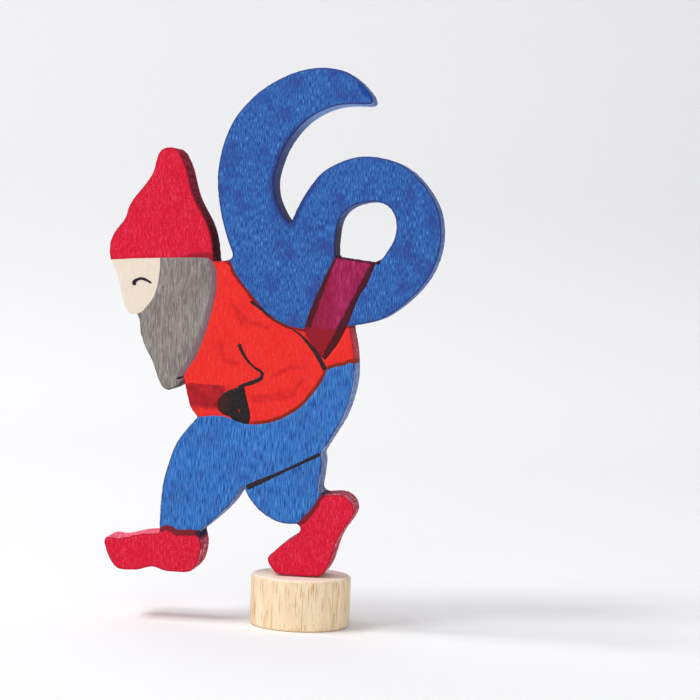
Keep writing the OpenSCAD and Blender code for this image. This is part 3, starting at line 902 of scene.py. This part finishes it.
def rounded(profile, radius, steps=4):
    """A profile with each inner corner replaced by a short curve that starts and ends `radius` from it."""
    done = [profile[0]]
    for before, corner, after in zip(profile, profile[1:], profile[2:]):
        before, corner, after = np.array(before), np.array(corner), np.array(after)
        reach = min(radius, lengths(before - corner) * 0.45, lengths(after - corner) * 0.45)
        start = corner + (before - corner) / lengths(before - corner) * reach
        end = corner + (after - corner) / lengths(after - corner) * reach
        for t in np.linspace(0, 1, steps + 1):
            done.append(tuple(start * (1 - t) ** 2 + corner * 2 * t * (1 - t) + end * t**2))
    done.append(profile[-1])
    return done


def beech():
    """Cream beech: slow upright bands, fine fibres, and short brown flecks that run with the grain, with a
    painted highlight on the top face and its rim.
    """
    wood = Finish("beech")
    height = wood.axes()[2]
    fibres = wood.noise((0.22, 0.22, 4.0), detail=3, seed=5.2)
    bands = wood.noise((1.5, 1.5, 16), detail=2, seed=0.7)
    wood.tone = wood.blend(wood.stretch(bands, 0.35, 0.65), colour(255, 236, 202), colour(243, 214, 174))
    wood.tint(wood.stretch(fibres, 0.35, 0.7), colour(248, 224, 186))
    flecks = wood.stretch(wood.noise((0.26, 0.26, 4.2), detail=0, seed=7.9), 0.64, 0.71)
    wood.tint(flecks, colour(222, 176, 118), 0.9)
    hairs = wood.stretch(wood.noise((0.13, 0.13, 1.8), detail=0, seed=3.1), 0.7, 0.76)
    wood.tint(hairs, colour(204, 156, 104), 0.6)
    # Painted highlight: the top face and the rounded rim above it are made paler, as where the lamps light it
    # from above.
    wood.tint(wood.stretch(height, 8.9, 9.15), colour(255, 246, 230), 0.75)
    wood.put(wood.shader.inputs["Base Color"], wood.tone)
    wood.shader.inputs["Roughness"].default_value = 0.55
    wood.shader.inputs["Specular IOR Level"].default_value = 0.3
    wood.bump(wood.maths("SUBTRACT", fibres, flecks), 0.02)
    return wood.material


PLUG_LOW, PLUG_HIGH = (np.array(corner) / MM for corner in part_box("plug"))
PIN_LOW, PIN_HIGH = (np.array(corner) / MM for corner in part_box("pin"))
PLUG_RADIUS = (PLUG_HIGH[0] - PLUG_LOW[0]) / 2
PLUG_TOP = PLUG_HIGH[2]
PIN_RADIUS = (PIN_HIGH[0] - PIN_LOW[0]) / 2
BORE_RADIUS = PIN_RADIUS + 0.04
BORE_FLOOR = PIN_LOW[2] - 0.3
BORE_MOUTH = 0.15
RIM = 0.4
plug_profile = [(0, 0), (PLUG_RADIUS - RIM, 0), (PLUG_RADIUS, RIM), (PLUG_RADIUS, PLUG_TOP - RIM),
                (PLUG_RADIUS - RIM, PLUG_TOP), (BORE_RADIUS + BORE_MOUTH, PLUG_TOP),
                (BORE_RADIUS, PLUG_TOP - BORE_MOUTH), (BORE_RADIUS, BORE_FLOOR), (0, BORE_FLOOR)]
plug = turned("plug_turned", rounded(plug_profile, 0.14), segments=192)
plug.data.materials.append(beech())
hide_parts("plug")
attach(plug, "plug")


# ---- The pin -------------------------------------------------------------------------------
# A length of steel wire, its ends ground to a small chamfer, pushed into the rear foot.
def wire():
    """Bright drawn steel, streaked along its length."""
    steel = Finish("pin_steel")
    drawn = steel.noise((0.05, 0.05, 3), detail=2, seed=1.0)
    steel.put(steel.shader.inputs["Base Color"],
              steel.blend(drawn, colour(186, 188, 192), colour(150, 152, 158)))
    steel.shader.inputs["Metallic"].default_value = 1
    steel.shader.inputs["Roughness"].default_value = 0.32
    steel.bump(drawn, 0.004)
    return steel.material


PIN_GRIND = 0.3
pin_profile = [(0, PIN_LOW[2]), (PIN_RADIUS - PIN_GRIND, PIN_LOW[2]), (PIN_RADIUS, PIN_LOW[2] + PIN_GRIND),
               (PIN_RADIUS, PIN_HIGH[2] - PIN_GRIND), (PIN_RADIUS - PIN_GRIND, PIN_HIGH[2]), (0, PIN_HIGH[2])]
pin = turned("pin_wire", rounded(pin_profile, 0.08), segments=64)
pin.data.materials.append(wire())
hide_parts("pin")
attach(pin, "pin")


# ---- Floor, backdrop and lights --------------------------------------------------------------
# A white sweep that runs flat under the gnome and curves up behind it. Two lamps side by side
# light it from high on the left, a wide soft one fills from the front, and the room the rest.
def sweep(width, front, bend_start, radius, height, steps=48):
    """A profile carried along X: flat floor, a quarter circle, and an upright wall."""
    bend = np.linspace(0, math.pi / 2, steps)
    y = np.concatenate([[front], bend_start + radius * np.sin(bend), [bend_start + radius]])
    z = np.concatenate([[0], radius * (1 - np.cos(bend)), [height]])
    x = np.linspace(-width / 2, width / 2, 3)
    places = np.stack(np.broadcast_arrays(x[None], y[:, None], z[:, None]), axis=2)
    index = np.arange(len(y) * 3).reshape(-1, 3)
    quads = np.stack([index[:-1, :-1], index[:-1, 1:], index[1:, 1:], index[1:, :-1]], axis=2).reshape(-1, 4)
    return mesh_object("floor", places.reshape(-1, 3), quads)


paper = Finish("white_paper")
height = paper.axes()[2]
# Painted shade: the paper is made darker towards the top of the backdrop, where less light reaches it.
paper.put(paper.shader.inputs["Base Color"],
          paper.blend(paper.stretch(height, -10, 95), colour(251, 251, 251), colour(235, 235, 236)))
paper.shader.inputs["Roughness"].default_value = 0.9
paper.shader.inputs["Specular IOR Level"].default_value = 0.1
floor = sweep(width=6000, front=-3000, bend_start=330, radius=180, height=3000)
floor.data.materials.append(paper.material)


def lamp(name, direction, distance, size, power):
    """A square lamp that stands in a direction from the gnome's middle and faces it."""
    light = bpy.data.lights.new(name, "AREA")
    light.shape = "SQUARE"
    light.size = size
    light.energy = power
    item = bpy.data.objects.new(name, light)
    bpy.context.scene.collection.objects.link(item)
    place = Vector(direction).normalized() * distance
    item.location = place + VIEW_AIM
    item.rotation_euler = place.to_track_quat("Z", "Y").to_euler()


lamp("key_side", direction=(-0.62, -0.06, 1.0), distance=1.05, size=0.24, power=3.2)
lamp("key_front", direction=(-0.62, -0.48, 1.0), distance=1.05, size=0.34, power=4.3)
lamp("fill", direction=(0.2, -1.0, 0.3), distance=1.6, size=1.3, power=6.9)

room = bpy.data.worlds.new("room")
room.use_nodes = True
room.node_tree.nodes["Background"].inputs["Color"].default_value = (0.95, 0.96, 1.0, 1)
room.node_tree.nodes["Background"].inputs["Strength"].default_value = 0.33
bpy.context.scene.world = room
